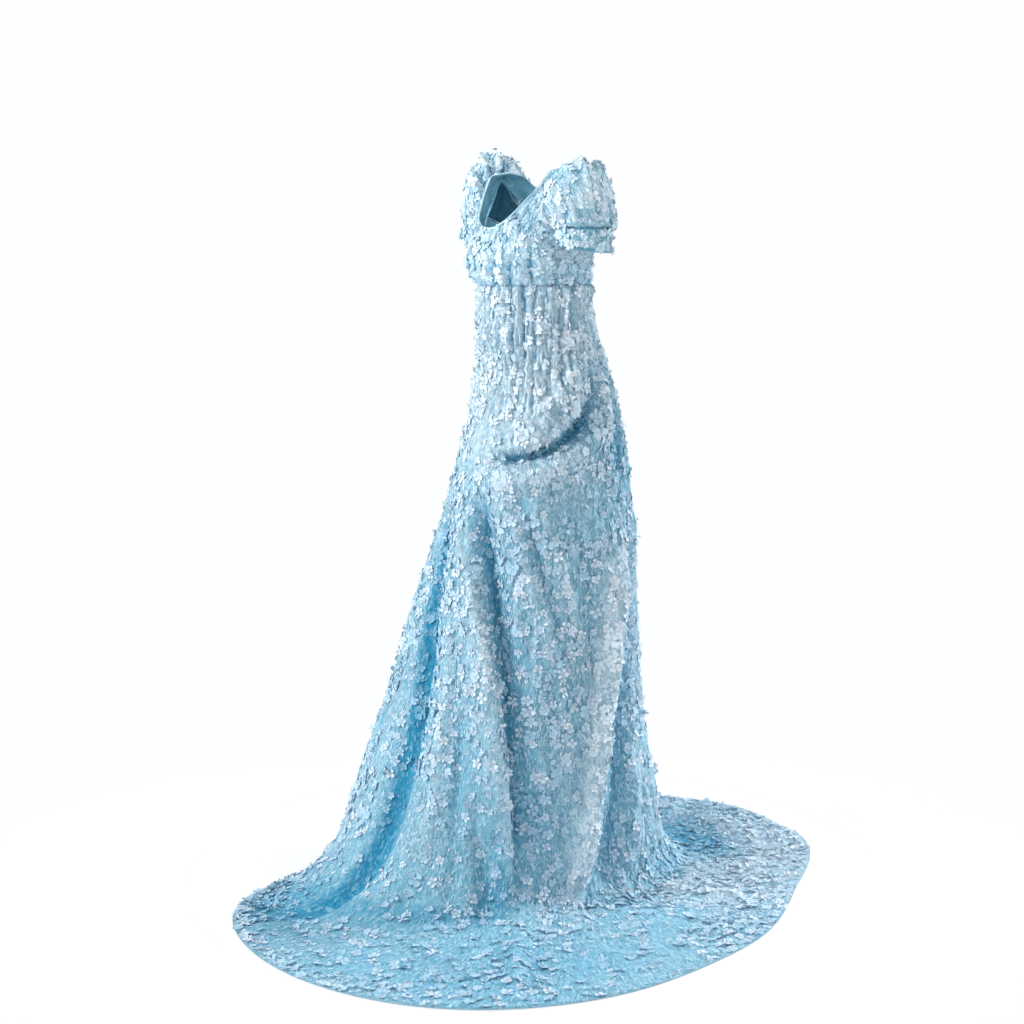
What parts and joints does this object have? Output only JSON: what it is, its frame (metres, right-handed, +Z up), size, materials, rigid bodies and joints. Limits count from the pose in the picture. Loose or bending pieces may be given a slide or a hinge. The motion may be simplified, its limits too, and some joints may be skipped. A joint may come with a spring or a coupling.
{
  "type": "regency gown",
  "caption": "Empire-line gown in pale blue appliqued cloth, worn and hollow, with short puff sleeves and a long skirt drawn up in a swag on one side and spread on the floor.",
  "frame": {"origin": "midway between the two shoulder seams, where the wearer holds the gown up", "axes": "+Z up, -Y towards the front of the gown, +X towards the wearer's left; the hem lies 1.49 m below the origin"},
  "size_m": [1.2018, 1.3412, 1.5341],
  "materials": {
    "bodice_cloth": "fine embroidered cloth with raised petal flowers",
    "sleeve_cloth": "fine embroidered cloth with raised petal flowers",
    "cuff_cloth": "fine embroidered cloth with raised petal flowers",
    "skirt_cloth": "fine embroidered cloth with raised petal flowers"
  },
  "bodies": {
    "root": {"bodice_front": "bodice_cloth", "bodice_back_left": "bodice_cloth", "bodice_back_right": "bodice_cloth", "sleeve_left": "sleeve_cloth", "sleeve_right": "sleeve_cloth", "cuff_left": "cuff_cloth", "cuff_right": "cuff_cloth", "skirt_front": "skirt_cloth", "skirt_back_left": "skirt_cloth", "skirt_back_right": "skirt_cloth"}
  },
  "joints": []
}
